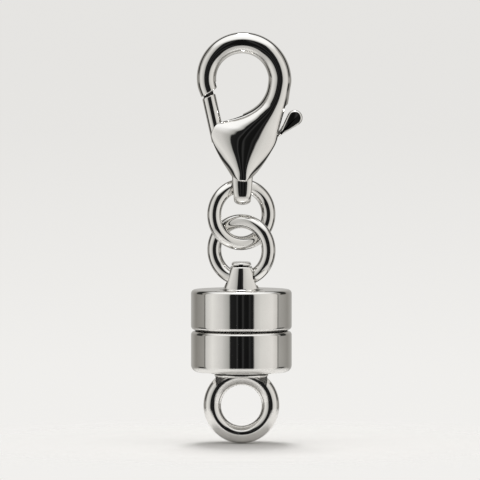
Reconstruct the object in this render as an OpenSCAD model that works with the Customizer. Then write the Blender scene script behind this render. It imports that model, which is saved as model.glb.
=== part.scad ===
// Magnetic converter clasp: a claw clasp with a sprung gate, two interlocked
// jump rings, and a two-part magnetic barrel with a bail above and an eye below.
// The origin is the crown inside the hook, where the clasp hangs. +Z is up,
// +X is right as seen from the front, and the front faces -Y.

/* [Hook] */
// Inside radius of the hook's bend
bend_in_r = 2.16; // [1.9:0.02:2.5]
// Wire of the hook at its tip
tip_wire = 1.34; // [1.2:0.02:1.5]
// Wire of the hook where it runs into the body
root_wire = 1.84; // [1.7:0.02:2.1]
// Length of the body, from the bend's centre to the tip of its dome
body_l = 8.2; // [7.6:0.02:8.8]
// Depth of the body from front to back
body_t = 3.4; // [3.2:0.05:3.8]
// Thickness of the rim along the slot's edges, outside the slot
rim_wall = 0.07; // [0.05:0.01:0.12]
// Gap between the hook's tip and the end of the gate
tip_gap = 0.22; // [0.18:0.01:0.3]

/* [Gate] */
// Width of the slot that the gate works in
slot_w = 1.16; // [1.1:0.02:1.3]
// Play between the gate's plate and each wall of the slot
gate_play = 0.07; // [0.04:0.01:0.1]
// Diameter of the gate's round finger
finger_d = 0.96; // [0.8:0.02:1]
// Lean of the finger from upright, in degrees
finger_lean = 12.5; // [11:0.5:14]
// Radius of the gate's hub round the pin
hub_r = 1.25; // [1.1:0.05:1.35]
// Radius of the thumb tab's round end
tab_r = 0.62; // [0.5:0.02:0.7]
// Width of the thumb tab from front to back
tab_w = 1.5; // [1.2:0.05:1.8]
// Reach of the thumb tab from the pin to the middle of its round end
tab_reach = 4.55; // [4.4:0.05:4.8]
// Diameter of the gate's pin
pin_d = 0.8; // [0.6:0.02:0.9]
// Radial play of the gate on its pin
pin_play = 0.03; // [0.02:0.01:0.05]
// Gap round the pin where it is seated in the body
pin_seat = 0.01; // [0.01:0.01:0.02]

/* [Tail loop] */
// Width of the tail loop where it leaves the body
tail_top_w = 1.72; // [1.6:0.02:1.9]
// Width of the tail loop at its lower end
tail_end_w = 1.3; // [1.1:0.02:1.5]
// Thickness of the tail loop's two sides
tail_side = 0.4; // [0.36:0.02:0.5]
// Thickness of the tail loop's floor
tail_floor = 0.66; // [0.6:0.02:0.9]
// Radius of the tail loop's lower corners, seen from the side
tail_bend_r = 0.9; // [0.7:0.02:1.1]

/* [Jump rings] */
// Diameter of the jump rings' wire
ring_wire = 1.12; // [1:0.02:1.2]
// Radius of the jump rings, to the middle of the wire
ring_r = 2.31; // [2.2:0.01:2.5]
// Step from the upper ring's centre down to the lower ring's
ring_step = 2.84; // [2.7:0.02:3]
// Smallest gap between the two rings where they cross
ring_gap = 0.06; // [0.04:0.01:0.1]
// Play of a ring in the loops that it passes through
ring_play = 0.04; // [0.03:0.01:0.08]

/* [Barrel] */
// Diameter of the barrel
barrel_d = 8.06; // [7.6:0.02:8.6]
// Height of the upper half
upper_h = 3.22; // [3:0.02:3.6]
// Height of the lower half
lower_h = 3.28; // [3:0.02:3.6]
// Radius of the barrel's top edge
top_edge_r = 0.32; // [0.25:0.01:0.4]
// Radius of the barrel's bottom edge
low_edge_r = 0.44; // [0.3:0.01:0.5]
// Radius of the edges along the seam
seam_r = 0.22; // [0.15:0.01:0.3]
// Gap of the seam between the halves
seam_gap = 0.1; // [0.05:0.01:0.15]
// Wall of each cup round its magnet
cup_wall = 0.7; // [0.6:0.05:0.9]
// Height of each magnet
magnet_h = 2; // [1.6:0.1:2.3]
// Gap round each magnet in its cup
magnet_gap = 0.03; // [0.02:0.01:0.06]

/* [Bail] */
// Width of the bail at its top
bail_top_w = 1.6; // [1.5:0.02:1.8]
// Width of the bail at its foot
bail_foot_w = 2.5; // [2.3:0.02:2.7]
// Depth of the bail at its top
bail_top_t = 2.5; // [2.4:0.02:2.7]
// Depth of the bail at its foot
bail_foot_t = 3.2; // [3:0.02:3.4]
// Thickness of the bail's top bar
bail_bar = 0.34; // [0.3:0.02:0.5]
// Thickness of the round foot plate that the bail stands on
foot_h = 0.2; // [0.15:0.01:0.3]
// Gap between the lower ring and the foot plate
foot_gap = 0.09; // [0.05:0.01:0.15]

/* [Eye] */
// Wire of the eye
eye_wire = 1.4; // [1.3:0.02:1.5]
// Diameter of the eye's hole
eye_hole_d = 3.36; // [3.2:0.02:3.5]
// Length of the true cylinder inside the hole
eye_land = 0.5; // [0.4:0.05:0.7]
// Diameter of the collar above the eye
collar_d = 4.32; // [4:0.02:4.6]
// Height of the collar below the lower half
collar_h = 0.4; // [0.3:0.02:0.5]
// Web of metal from the collar down to the hole
eye_web = 0.62; // [0.5:0.02:0.8]
// Thickness of the web that fills the corners between the collar and the eye
web_t = 1.2; // [0.8:0.05:1.3]

/* [Hidden] */
$fn = 72;
// Sides of a section of the hook, and steps between two rows of its table
hook_sides = 28;
hook_steps = 3;
// Rows round the bend, and where the tip's cut ends outside and inside
bend_rows = 11;
tip_out_a = 204.5;
tip_in_a = 198.5;
// How far cuts run past what they cut
over = 0.5;

// Heights, from the crown down
bend_z = -bend_in_r;
dome_z = bend_z - body_l;
root_x = bend_in_r + root_wire;
pivot = [0.035 * root_x, bend_z - 0.621 * body_l];

// The rings cross one another twice. Turned about the upright by ring_turn,
// one each way, their wires clear each other there by ring_gap.
cross_x = sqrt(ring_r * ring_r - ring_step * ring_step / 4);
cross_apart = 1.01 * (ring_wire + ring_gap);
ring_turn = asin(cross_apart
    / sqrt(pow(2 * cross_x, 2) - pow(cross_apart * ring_step / 2 / cross_x, 2)));
// At a distance x from the middle of a loop, the turned wire has moved sideways
// by x * tan(ring_turn) and towards its ring's centre by ring_sag(x), and a cut
// through it there reaches wire_half(x) from its middle
function ring_sag(x) = ring_r - sqrt(ring_r * ring_r - pow(x / cos(ring_turn), 2));
function wire_half(x) = ring_wire / 2 / cos(ring_turn) * ring_r / (ring_r - ring_sag(x));

// The tail loop's hole is round, and drawn out to front and back for the turned ring
tail_x = 0.02 * root_x;
tail_mouth = (tail_top_w + tail_end_w) / 4 + tail_x;
tail_hole_shift = 0.8 * tail_mouth * tan(ring_turn);
tail_hole_r = norm([ring_sag(tail_mouth), tail_mouth * tan(ring_turn) - tail_hole_shift])
    + wire_half(tail_mouth) + ring_play;
tail_eye_z = dome_z - 0.035 * body_l;
tail_t = 2 * (tail_hole_r + tail_hole_shift + tail_side);
tail_low_z = tail_eye_z - tail_hole_r - tail_floor;
upper_ring_z = tail_eye_z - ring_r;
lower_ring_z = upper_ring_z - ring_step;
bail_eye_z = lower_ring_z - ring_r;
// The bail's hole lets the drop swing, so it has room all round the turned wire
function swing_reach(x) = norm([ring_sag(x), x * tan(ring_turn)]) + wire_half(x) + ring_play;
bail_hole_r = swing_reach(bail_top_w / 2);
bail_hole_shift = swing_reach(0.42 * bail_foot_w) - bail_hole_r;
cup_top_z = bail_eye_z - ring_wire / 2 - foot_gap - foot_h;
bail_top_z = bail_eye_z + bail_hole_r + bail_bar;
seam_z = cup_top_z - upper_h;
lower_top_z = seam_z - seam_gap;
lower_end_z = lower_top_z - lower_h;
eye_r = sqrt(pow(eye_wire / 2, 2) - pow(eye_land / 2, 2)) + eye_hole_d / 2;
eye_z = lower_end_z - collar_h - eye_web - eye_hole_d / 2;
magnet_r = barrel_d / 2 - cup_wall - magnet_gap;
// The web's top corners under the collar, and its low corners on the eye's wire
web_top = [0.44 * collar_d, lower_end_z - collar_h];
web_low_a = 33;
web_low = [eye_r * cos(web_low_a), eye_z + eye_r * sin(web_low_a)];

// The bail's upright edges and top edges, and the round plate that it stands on
bail_side_r = 0.6;
bail_edge = 0.1;
foot_d = bail_foot_t + foot_h / 2;

// Rows down the hook's body, in one plane each from its right edge to its left.
// X is a share of root_x, Z a share of body_l below the bend's centre, depth a
// share of body_t, and fullness 1 for an oval section and less for a squarer one.
// Columns: right x, right z, left x, left z, depth, fullness.
body_rows = [
    [0.972, 0.107,  0.502, 0.112, 0.54, 1.00],
    [0.938, 0.215,  0.396, 0.208, 0.61, 0.97],
    [0.896, 0.310,  0.241, 0.278, 0.70, 0.93],
    [0.846, 0.392,  0.044, 0.332, 0.79, 0.89],
    [0.790, 0.472, -0.153, 0.372, 0.87, 0.85],
    [0.738, 0.551, -0.332, 0.402, 0.93, 0.82],
    [0.682, 0.630, -0.502, 0.440, 0.98, 0.80],
    [0.590, 0.710, -0.604, 0.523, 1.00, 0.79],
    [0.478, 0.797, -0.566, 0.621, 1.00, 0.79],
    [0.362, 0.884, -0.430, 0.760, 1.00, 0.80],
    [0.275, 0.940, -0.264, 0.880, 0.99, 0.79],
    [0.212, 0.973, -0.152, 0.945, 0.97, 0.77],
    [0.130, 0.995, -0.050, 0.985, 0.93, 0.75]
];

// A row of the bend, at a share s of the way from the tip to the root
function bend_row(s) =
    let (out_a = tip_out_a * (1 - s), in_a = tip_in_a * (1 - s),
         wire = tip_wire + (root_wire - tip_wire) * s, r = bend_in_r + wire)
    [r * cos(out_a), bend_z + r * sin(out_a),
     bend_in_r * cos(in_a), bend_z + bend_in_r * sin(in_a), wire, 1];

// A row of the body's table, in millimetres
function body_row(row) =
    [row[0] * root_x, bend_z - row[1] * body_l,
     row[2] * root_x, bend_z - row[3] * body_l, row[4] * body_t, row[5]];

// The rows that the hook's skin runs through, from its tip to the dome's tip
hook_marks = concat([for (i = [0 : bend_rows]) bend_row(i / bend_rows)],
                    [for (row = body_rows) body_row(row)]);

// A smooth curve through a list of rows, a share t of the way from row i
function smooth_row(rows, i, t) =
    let (last = len(rows) - 1, a = rows[max(i - 1, 0)], b = rows[i],
         c = rows[min(i + 1, last)], d = rows[min(i + 2, last)])
    0.5 * (2 * b + (c - a) * t + (2 * a - 5 * b + 4 * c - d) * t * t
           + (3 * b - a - 3 * c + d) * t * t * t);

hook_rows = concat(
    [for (i = [0 : len(hook_marks) - 2], k = [0 : hook_steps - 1])
        smooth_row(hook_marks, i, k / hook_steps)],
    [hook_marks[len(hook_marks) - 1]]);

// A number raised to a power, with its sign kept
function full(v, power) = sign(v) * pow(abs(v), power);

// The points of one section, from a row
function section(row) =
    let (mid = [(row[0] + row[2]) / 2, (row[1] + row[3]) / 2],
         half = [(row[0] - row[2]) / 2, (row[1] - row[3]) / 2])
    [for (j = [0 : hook_sides - 1])
        let (a = 360 * j / hook_sides, u = full(cos(a), row[5]), v = full(sin(a), row[5]))
        [mid[0] + half[0] * u, row[4] / 2 * v, mid[1] + half[1] * u]];

// A solid skin over rings of points, closed at both ends
module skin(rings) {
    n = len(rings[0]);
    last = len(rings) - 1;
    walls = [for (i = [0 : last - 1], j = [0 : n - 1], half = [0, 1])
        let (k = (j + 1) % n)
        half == 0 ? [i * n + j, i * n + k, (i + 1) * n + k]
                  : [i * n + j, (i + 1) * n + k, (i + 1) * n + j]];
    first_end = [for (j = [1 : n - 2]) [0, j + 1, j]];
    last_end = [for (j = [1 : n - 2]) [last * n, last * n + j, last * n + j + 1]];
    polyhedron(points = [for (ring = rings, p = ring) p],
               faces = concat(walls, first_end, last_end));
}

// The outline of a bar between two round ends, with the ends' own radii
function bar_outline(a, ra, b, rb, n = 16) =
    let (d = b - a, along = atan2(d[1], d[0]), splay = acos((ra - rb) / norm(d)))
    concat(
        [for (i = [0 : n]) let (t = along + splay + (360 - 2 * splay) * i / n)
            a + ra * [cos(t), sin(t)]],
        [for (i = [0 : n]) let (t = along - splay + 2 * splay * i / n)
            b + rb * [cos(t), sin(t)]]);

// A plate of width w in the X and Z plane, centred on the middle plane
module plate(w) { rotate([90, 0, 0]) translate([0, 0, -w / 2]) linear_extrude(w) children(); }

// A hole along X at a height z: a round one, drawn out by a shift to front and back
module cross_hole(r, shift, w, z) {
    for (side = [-1, 1]) translate([-w / 2, side * shift, z]) rotate([0, 90, 0])
        cylinder(r = r, h = w);
    translate([0, 0, z]) cube([w, 2 * shift, 2 * r], center = true);
}

// The gate's finger: its top is just below the middle of the tip's cut
tip_row = bend_row(0);
tip_mid = [(tip_row[0] + tip_row[2]) / 2, (tip_row[1] + tip_row[3]) / 2];
finger_dir = [sin(finger_lean), -cos(finger_lean)];
finger_top = tip_mid + tip_gap * finger_dir;
finger_l = 0.39 * body_l;
finger_root = finger_top + finger_l * finger_dir;
// Slope of the finger's end, between the hook's own cut and level
finger_end_a = 27;
// The tab's arm runs out right of the pin to a knee, and up from there to the end
tab_a = 25;
knee_a = 0.45 * tab_a;
tab_end = pivot + tab_reach * [cos(tab_a), sin(tab_a)];
tab_knee = pivot + 0.64 * tab_reach * [cos(knee_a), sin(knee_a)];
// The wide part of the tab starts as a narrow nose, just above the knee
tab_nose = tab_knee + tab_r * [0.45, 0.48];
// Radii of the gate's plate: under the finger, at the arm's root, knee and end
plate_finger_r = 0.42 * finger_d;
plate_arm_r = 0.8 * hub_r;
plate_knee_r = 0.5 * tab_r;
plate_tab_r = 0.8 * tab_r;
plate_nose_r = 0.16 * tab_r;

// The slot is open on the left from its top down, and on the right for the tab
slot_web = 0.36;
slot_low_z = tail_eye_z + tail_hole_r + slot_web;
slot_room = 0.2;
slot_left_z = pivot[1] + 0.34 * body_l;
slot_right_z = pivot[1] + 0.4 * body_l;
slot_points = [
    [-root_x, slot_left_z],
    [pivot[0] - 0.06 * root_x, slot_left_z],
    [pivot[0] + 0.09 * root_x, pivot[1] + hub_r + slot_room],
    [pivot[0] + 0.5 * root_x, pivot[1] + hub_r + 2 * slot_room],
    [pivot[0] + 0.93 * root_x, slot_right_z],
    [pivot[0] + 1.15 * root_x, slot_right_z],
    [pivot[0] + 1.15 * root_x, slot_low_z],
    [-root_x, slot_low_z]
];
// The pin stops short of the front, so that only the back shows it
pin_front_y = -0.35 * body_t;
pin_back_y = 0.46 * body_t;

// The thin rim of the body along the slot's edges, on its middle outline
module rim() {
    first = (bend_rows + 1) * hook_steps;
    last = len(hook_rows) - hook_steps;
    plate(slot_w + 2 * rim_wall) polygon(concat(
        [for (i = [first : last]) [hook_rows[i][0], hook_rows[i][1]]],
        [for (i = [last : -1 : first]) [hook_rows[i][2], hook_rows[i][3]]]));
}

module tail_loop() {
    top_z = dome_z + 0.12 * body_l;
    translate([tail_x, 0, 0]) intersection() {
        translate([-tail_top_w / 2, 0, 0]) rotate([90, 0, 90]) linear_extrude(tail_top_w)
            translate([0, (top_z + tail_low_z) / 2])
                rounded(tail_t, top_z - tail_low_z, tail_bend_r);
        plate(body_t) polygon([
            [-tail_end_w / 2, tail_low_z - over], [tail_end_w / 2, tail_low_z - over],
            [tail_end_w / 2, tail_eye_z - tail_hole_r], [tail_top_w / 2, dome_z],
            [tail_top_w / 2, top_z], [-tail_top_w / 2, top_z],
            [-tail_top_w / 2, dome_z], [-tail_end_w / 2, tail_eye_z - tail_hole_r]]);
    }
}

module hook_body() color("silver") difference() {
    union() {
        skin([for (row = hook_rows) section(row)]);
        rim();
        tail_loop();
    }
    cross_hole(tail_hole_r, tail_hole_shift, body_t * 2, tail_eye_z);
    plate(slot_w) polygon(slot_points);
    translate([pivot[0], pin_back_y + over, pivot[1]]) rotate([90, 0, 0])
        cylinder(r = pin_d / 2 + pin_seat, h = pin_back_y + over - pin_front_y + pin_seat);
}

module gate() color("silver") difference() {
    union() {
        plate(slot_w - 2 * gate_play) {
            polygon(bar_outline(pivot, hub_r, finger_root, plate_finger_r));
            polygon(bar_outline(pivot, plate_arm_r, tab_knee, plate_knee_r));
            polygon(bar_outline(tab_knee, plate_knee_r, tab_end, plate_tab_r));
        }
        plate(tab_w) polygon(bar_outline(tab_nose, plate_nose_r, tab_end, tab_r));
        translate([finger_root[0], 0, finger_root[1]]) rotate([0, -finger_lean, 0])
            cylinder(d = finger_d, h = finger_l + over);
    }
    translate([finger_top[0], 0, finger_top[1]]) rotate([0, -finger_end_a, 0])
        translate([-finger_d, -finger_d, 0]) cube([2 * finger_d, 2 * finger_d, 2 * over]);
    translate([pivot[0], body_t, pivot[1]]) rotate([90, 0, 0])
        cylinder(r = pin_d / 2 + pin_play, h = 2 * body_t);
}

module gate_pin() color("silver")
    translate([pivot[0], pin_back_y, pivot[1]]) rotate([90, 0, 0])
        cylinder(d = pin_d, h = pin_back_y - pin_front_y);

// A jump ring round a level axis, turned about the upright
module jump_ring(z, turn) {
    translate([0, 0, z]) rotate([0, 0, turn]) rotate([90, 0, 0])
        rotate_extrude() translate([ring_r, 0]) circle(d = ring_wire);
}

module ring_upper() color("silver") jump_ring(upper_ring_z, ring_turn);

module ring_lower() color("silver") jump_ring(lower_ring_z, -ring_turn);

// Half of a cup's outline, from its axis: r_low and r_high round its edges
module cup_outline(low_z, high_z, r_low, r_high) {
    r = barrel_d / 2;
    difference() {
        translate([0, low_z]) square([r, high_z - low_z]);
        difference() {
            translate([r - r_low, low_z - over]) square([r_low + over, r_low + over]);
            translate([r - r_low, low_z + r_low]) circle(r = r_low);
        }
        difference() {
            translate([r - r_high, high_z - r_high]) square([r_high + over, r_high + over]);
            translate([r - r_high, high_z - r_high]) circle(r = r_high);
        }
    }
}

// The pocket of a magnet, open at the seam
module pocket(seat_z, mouth_z) {
    low_z = min(seat_z, mouth_z);
    translate([0, 0, low_z]) cylinder(r = magnet_r + magnet_gap, h = abs(seat_z - mouth_z));
}

// The bail flares from its top to its foot, with its top edges taken off
module bail() {
    hull() {
        translate([0, 0, bail_top_z - bail_edge]) linear_extrude(bail_edge)
            rounded(bail_top_w - 2 * bail_edge, bail_top_t - 2 * bail_edge, bail_side_r);
        translate([0, 0, bail_top_z - 2 * bail_edge]) linear_extrude(bail_edge / 2)
            rounded(bail_top_w, bail_top_t, bail_side_r);
        translate([0, 0, cup_top_z + foot_h / 2]) linear_extrude(foot_h / 2)
            rounded(bail_foot_w, bail_foot_t, bail_side_r);
    }
}

// A rectangle with round corners, centred
module rounded(w, t, r) {
    square([w - 2 * r, t], center = true);
    square([w, t - 2 * r], center = true);
    for (x = [-1, 1], y = [-1, 1])
        translate([x * (w / 2 - r), y * (t / 2 - r)]) circle(r = r, $fn = 32);
}

module upper_cup() color("silver") difference() {
    union() {
        rotate_extrude() cup_outline(seam_z, cup_top_z, seam_r, top_edge_r);
        translate([0, 0, cup_top_z - over]) cylinder(d = foot_d, h = over + foot_h);
        bail();
    }
    cross_hole(bail_hole_r, bail_hole_shift, bail_foot_t + 2 * over, bail_eye_z);
    pocket(seam_z + magnet_h + magnet_gap, seam_z - over);
}

module upper_magnet() color("gray")
    translate([0, 0, seam_z]) cylinder(r = magnet_r, h = magnet_h);

module lower_cup() color("silver") difference() {
    union() {
        rotate_extrude() cup_outline(lower_end_z, lower_top_z, low_edge_r, seam_r);
        translate([0, 0, lower_end_z - collar_h]) cylinder(d = collar_d, h = collar_h + over);
        translate([0, 0, eye_z]) rotate([90, 0, 0])
            rotate_extrude() translate([eye_r, 0]) circle(d = eye_wire);
        plate(web_t) polygon([
            [-web_low[0], web_low[1]], web_low, web_top, [web_top[0], web_top[1] + over],
            [-web_top[0], web_top[1] + over], [-web_top[0], web_top[1]]]);
    }
    translate([0, eye_wire, eye_z]) rotate([90, 0, 0]) cylinder(d = eye_hole_d, h = 2 * eye_wire);
    pocket(lower_top_z - magnet_h - magnet_gap, lower_top_z + over);
}

module lower_magnet() color("gray")
    translate([0, 0, lower_top_z - magnet_h]) cylinder(r = magnet_r, h = magnet_h);

hook_body();
gate();
gate_pin();
ring_upper();
ring_lower();
upper_cup();
upper_magnet();
lower_cup();
lower_magnet();
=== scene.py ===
# %% [markdown]
# # A magnetic converter clasp in polished silver plating
# A claw clasp hangs two interlocked jump rings, and a magnetic barrel hangs on
# the lower ring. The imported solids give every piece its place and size. Each
# solid is replaced here by a finer mesh that is shaped the way the real piece
# is made: turned, bent, swept or cut from plate.

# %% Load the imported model
import math

import bmesh
import bpy
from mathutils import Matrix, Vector


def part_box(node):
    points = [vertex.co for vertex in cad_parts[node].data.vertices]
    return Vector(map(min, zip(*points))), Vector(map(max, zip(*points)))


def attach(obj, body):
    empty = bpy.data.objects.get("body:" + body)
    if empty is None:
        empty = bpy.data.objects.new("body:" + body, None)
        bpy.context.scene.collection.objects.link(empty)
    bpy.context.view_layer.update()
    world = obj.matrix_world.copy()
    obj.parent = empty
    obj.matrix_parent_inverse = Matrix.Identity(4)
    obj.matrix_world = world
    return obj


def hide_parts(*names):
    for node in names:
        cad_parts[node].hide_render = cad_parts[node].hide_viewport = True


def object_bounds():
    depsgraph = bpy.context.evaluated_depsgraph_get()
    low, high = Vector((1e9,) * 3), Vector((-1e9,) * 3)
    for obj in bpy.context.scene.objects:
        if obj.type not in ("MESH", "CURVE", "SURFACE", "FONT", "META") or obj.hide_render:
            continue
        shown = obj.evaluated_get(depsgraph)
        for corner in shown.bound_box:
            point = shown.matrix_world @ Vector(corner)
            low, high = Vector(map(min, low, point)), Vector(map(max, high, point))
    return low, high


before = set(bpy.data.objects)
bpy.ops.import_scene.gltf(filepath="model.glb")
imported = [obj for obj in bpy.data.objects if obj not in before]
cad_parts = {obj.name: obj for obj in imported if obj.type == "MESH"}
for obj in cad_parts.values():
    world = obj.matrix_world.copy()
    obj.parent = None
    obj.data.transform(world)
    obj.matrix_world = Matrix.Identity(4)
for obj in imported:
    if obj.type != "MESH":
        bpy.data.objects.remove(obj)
cad_lo, cad_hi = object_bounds()
MM = 0.001
print("solids:", sorted(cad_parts), "size in mm:", (cad_hi - cad_lo) / MM)

# %% [markdown]
# ## Camera
# The photograph was taken from far away with a long lens, almost level with
# the barrel: its round rims show as very flat ellipses. The hook's crown is the
# origin of the model, so the crown's pixel and the scale give the view.

# %% Set the camera
PHOTO_PX = 480
PX_PER_MM = 12.5
CROWN_PX = (241.4, 52.5)
CAMERA_FAR = 500 * MM
CAMERA_UP = math.radians(2.4)

view_w = PHOTO_PX / PX_PER_MM * MM
aim = Vector(((PHOTO_PX / 2 - CROWN_PX[0]) / PX_PER_MM * MM, 0,
              (CROWN_PX[1] - PHOTO_PX / 2) / PX_PER_MM * MM))
camera = bpy.data.objects.new("camera", bpy.data.cameras.new("camera"))
bpy.context.scene.collection.objects.link(camera)
camera.data.lens = camera.data.sensor_width * CAMERA_FAR / view_w
camera.location = aim + CAMERA_FAR * Vector((0, -math.cos(CAMERA_UP), math.sin(CAMERA_UP)))
camera.rotation_euler = (math.pi / 2 - CAMERA_UP, 0, 0)
bpy.context.scene.camera = camera
print("lens:", round(camera.data.lens), "mm, aimed at", aim / MM)

# %% [markdown]
# ## Studio light
# Polished metal has no colour of its own: it shows the room. The room is one
# background that depends on direction alone, so it has no noise and works for
# every view. A dark panel stands behind the camera, two pale panels flank it,
# the back is grey, and a bright cloth hangs overhead. A narrow dark slit at each
# side darkens the outlines of upright walls, and a dark hoop round the set draws
# the thin dark lines near the outlines of round wire. The camera itself sees a
# plain pale backdrop.

# %% Helpers for shader nodes
def ramp(tree, factor, stops, interpolation="LINEAR"):
    """Adds a colour ramp that reads factor. Stops are (position, colour)."""
    node = tree.nodes.new("ShaderNodeValToRGB")
    node.color_ramp.interpolation = interpolation
    elements = node.color_ramp.elements
    while len(elements) < len(stops):
        elements.new(0.5)
    for element, (position, colour) in zip(elements, stops):
        element.position = position
        element.color = (*colour, 1) if isinstance(colour, tuple) else (colour,) * 3 + (1,)
    tree.links.new(factor, node.inputs["Fac"])
    return node.outputs["Color"]


def maths(tree, operation, first, second=None):
    """Adds a math node on sockets or numbers."""
    node = tree.nodes.new("ShaderNodeMath")
    node.operation = operation
    for socket, value in zip(node.inputs, (first, second)):
        if isinstance(value, (int, float)):
            socket.default_value = value
        elif value is not None:
            tree.links.new(value, socket)
    return node.outputs["Value"]


def mixed(tree, factor, first, second):
    """Adds a colour mix, from first at 0 to second at 1."""
    node = tree.nodes.new("ShaderNodeMix")
    node.data_type = "RGBA"
    for socket, value in (("Factor", factor), ("A", first), ("B", second)):
        socket = [s for s in node.inputs
                  if s.name == socket and s.type == ("VALUE" if socket == "Factor" else "RGBA")][0]
        if isinstance(value, (int, float)):
            socket.default_value = value
        elif isinstance(value, tuple):
            socket.default_value = (*value, 1)
        else:
            tree.links.new(value, socket)
    return [s for s in node.outputs if s.type == "RGBA"][0]


def turn(degrees):
    """Gives the ramp position of a heading. 0 is towards the camera."""
    return 0.5 + degrees / 360


def lift(degrees):
    """Gives the ramp position of a height. 0 is the horizon."""
    return 0.5 + degrees / 180


# %% Build the studio
DARK_LEFT, DARK_RIGHT = -27, 29
DARK_LOW, DARK_HIGH = -30, 37
SOFT_EDGE = 1.5
HOOP_TILT = math.radians(19)
HOOP_NEAR, HOOP_FAR = 0.14, 0.50
HOOP_EDGE = 0.06
HOOP_COLOUR, GROUND_COLOUR = (0.03, 0.03, 0.028), (0.55, 0.54, 0.52)

world = bpy.data.worlds.new("studio")
bpy.context.scene.world = world
world.use_nodes = True
room = world.node_tree
room.nodes.clear()
direction = room.nodes.new("ShaderNodeTexCoord").outputs["Generated"]
split = room.nodes.new("ShaderNodeSeparateXYZ")
room.links.new(direction, split.inputs["Vector"])
toward_camera = maths(room, "MULTIPLY", split.outputs["Y"], -1)
heading = maths(room, "ARCTAN2", split.outputs["X"], toward_camera)
heading = maths(room, "MULTIPLY_ADD", heading, 1 / (2 * math.pi))
heading.node.inputs[2].default_value = turn(0)
height = maths(room, "ARCSINE", split.outputs["Z"])
height = maths(room, "MULTIPLY_ADD", height, 1 / math.pi)
height.node.inputs[2].default_value = lift(0)

walls = ramp(room, heading, [
    (turn(-180), (0.50, 0.49, 0.47)), (turn(-150), (0.40, 0.39, 0.37)),
    (turn(-128), (0.26, 0.25, 0.23)), (turn(-95), (0.34, 0.33, 0.31)),
    (turn(-92.5), (0.06, 0.06, 0.05)), (turn(-90), (0.62, 0.61, 0.59)),
    (turn(-70), (0.84, 0.83, 0.80)), (turn(-45), (0.66, 0.65, 0.63)),
    (turn(-28), (0.40, 0.40, 0.38)), (turn(28), (0.55, 0.54, 0.52)),
    (turn(45), (0.74, 0.73, 0.70)), (turn(75), (0.84, 0.82, 0.79)),
    (turn(90), (0.66, 0.64, 0.61)), (turn(92.5), (0.10, 0.10, 0.09)),
    (turn(95), (0.40, 0.39, 0.37)), (turn(130), (0.30, 0.29, 0.27)),
    (turn(180), (0.50, 0.49, 0.47))])
ceiling = ramp(room, height, [
    (lift(30), (0.88, 0.88, 0.87)), (lift(56), (1.12, 1.12, 1.11)),
    (lift(76), (1.15, 1.15, 1.14)), (lift(84), (3.0, 3.0, 3.0))])
above = ramp(room, height, [(lift(36), 0.0), (lift(52), 1.0)], "EASE")
below = ramp(room, height, [(lift(-40), 1.0), (lift(-22), 0.0)], "EASE")
dark_wide = ramp(room, heading, [
    (turn(DARK_LEFT - SOFT_EDGE), 0.0), (turn(DARK_LEFT + SOFT_EDGE), 1.0),
    (turn(DARK_RIGHT - SOFT_EDGE), 1.0), (turn(DARK_RIGHT + SOFT_EDGE), 0.0)])
dark_tall = ramp(room, height, [
    (lift(DARK_LOW - SOFT_EDGE), 0.0), (lift(DARK_LOW + SOFT_EDGE), 1.0),
    (lift(DARK_HIGH - SOFT_EDGE), 1.0), (lift(DARK_HIGH + SOFT_EDGE), 0.0)])
dark = maths(room, "MULTIPLY", dark_wide, dark_tall)

tilt_y = maths(room, "MULTIPLY", split.outputs["Y"], math.cos(HOOP_TILT))
tilt_z = maths(room, "MULTIPLY", split.outputs["Z"], -math.sin(HOOP_TILT))
around = maths(room, "ADD", tilt_y, tilt_z)
hoop = ramp(room, around, [
    (HOOP_NEAR - HOOP_EDGE, 0.0), (HOOP_NEAR + HOOP_EDGE, 1.0),
    (HOOP_FAR - HOOP_EDGE, 1.0), (HOOP_FAR + HOOP_EDGE, 0.0)], "EASE")
hoop_gap = ramp(room, height, [(lift(-9), 1.0), (lift(-6), 0.0), (lift(2), 0.0), (lift(6), 1.0)])
panel_folds = ramp(room, heading, [
    (turn(DARK_LEFT), 0.016), (turn(-12), 0.012), (turn(-9.3), 0.045), (turn(-7), 0.007),
    (turn(0.5), 0.006), (turn(3.5), 0.04), (turn(6.5), 0.009), (turn(16), 0.007),
    (turn(19), 0.03), (turn(22), 0.012)])

light = mixed(room, above, walls, ceiling)
light = mixed(room, below, light, GROUND_COLOUR)
light = mixed(room, maths(room, "MULTIPLY", hoop, hoop_gap), light, HOOP_COLOUR)
light = mixed(room, dark, light, panel_folds)
rays = room.nodes.new("ShaderNodeLightPath").outputs["Is Camera Ray"]
backdrop = ramp(room, height, [
    (lift(-3.8), (0.88, 0.87, 0.85)), (lift(-1.2), (0.79, 0.78, 0.76))])
seen = mixed(room, rays, light, backdrop)
background = room.nodes.new("ShaderNodeBackground")
room.links.new(seen, background.inputs["Color"])
output = room.nodes.new("ShaderNodeOutputWorld")
room.links.new(background.outputs["Background"], output.inputs["Surface"])
bpy.context.scene.view_settings.view_transform = "Standard"
print("studio nodes:", len(room.nodes))

# %% [markdown]
# ## Overhead lamp
# One round lamp above and a little behind the clasp adds to the highlight on
# the hook's crown and casts the soft shadow under the eye.

# %% Hang the lamp
LAMP_FAR = 300 * MM
LAMP_BACK = math.radians(14)
LAMP_D = 80 * MM
LAMP_POWER = 0.5

lamp = bpy.data.objects.new("lamp", bpy.data.lights.new("lamp", "AREA"))
bpy.context.scene.collection.objects.link(lamp)
lamp.data.shape = "DISK"
lamp.data.size = LAMP_D
lamp.data.energy = LAMP_POWER
lamp.location = aim + LAMP_FAR * Vector((0, math.sin(LAMP_BACK), math.cos(LAMP_BACK)))
lamp.rotation_euler = (-LAMP_BACK, 0, 0)
print("lamp at", lamp.location / MM)

# %% [markdown]
# ## Floor
# The clasp stands on its eye. A pale disc carries its shadow and fades out
# with its radius, so that it has no edge and no horizon, and the barrel
# doesn't mirror a wide floor. From below it is clear.

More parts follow.
